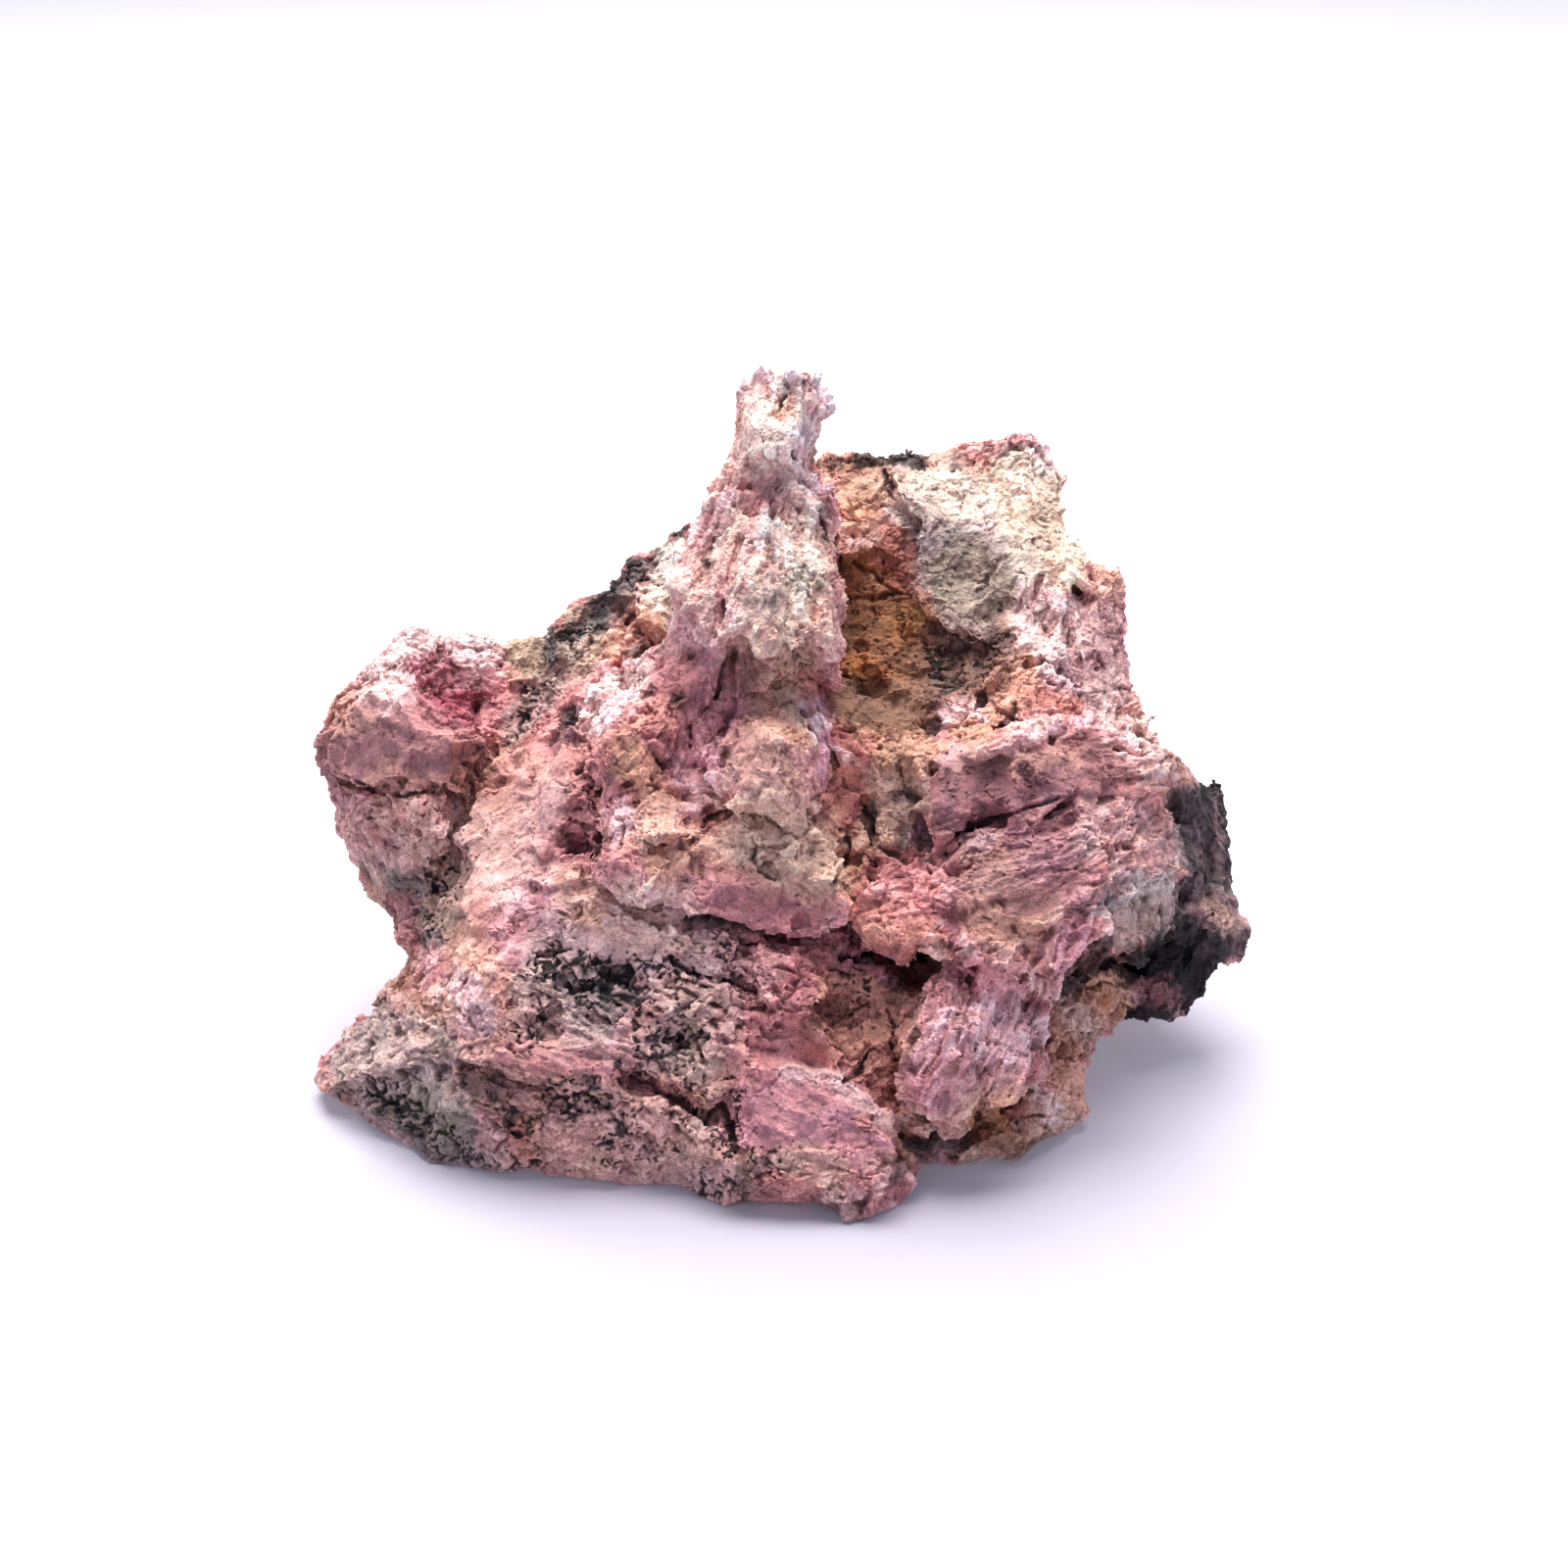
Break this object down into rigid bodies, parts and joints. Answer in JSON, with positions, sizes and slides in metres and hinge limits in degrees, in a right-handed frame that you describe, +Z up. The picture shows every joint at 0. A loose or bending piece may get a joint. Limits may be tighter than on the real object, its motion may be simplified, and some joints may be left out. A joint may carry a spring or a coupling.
{
  "type": "mineral specimen",
  "caption": "Broken lump of massive pink inesite with a leaning fibrous spire and a black and rusty matrix, resting on a flat cut base.",
  "frame": {"origin": "a point of the flat base, under the middle of the specimen's front as it is displayed", "axes": "+Z up, +X to the right and -Y to the viewer of the displayed front, X along the longest side"},
  "size_m": [0.0777, 0.0629, 0.0563],
  "materials": {
    "inesite": "broken, matt, with silky fibrous faces"
  },
  "bodies": {
    "root": {"inesite_specimen": "inesite"}
  },
  "joints": []
}
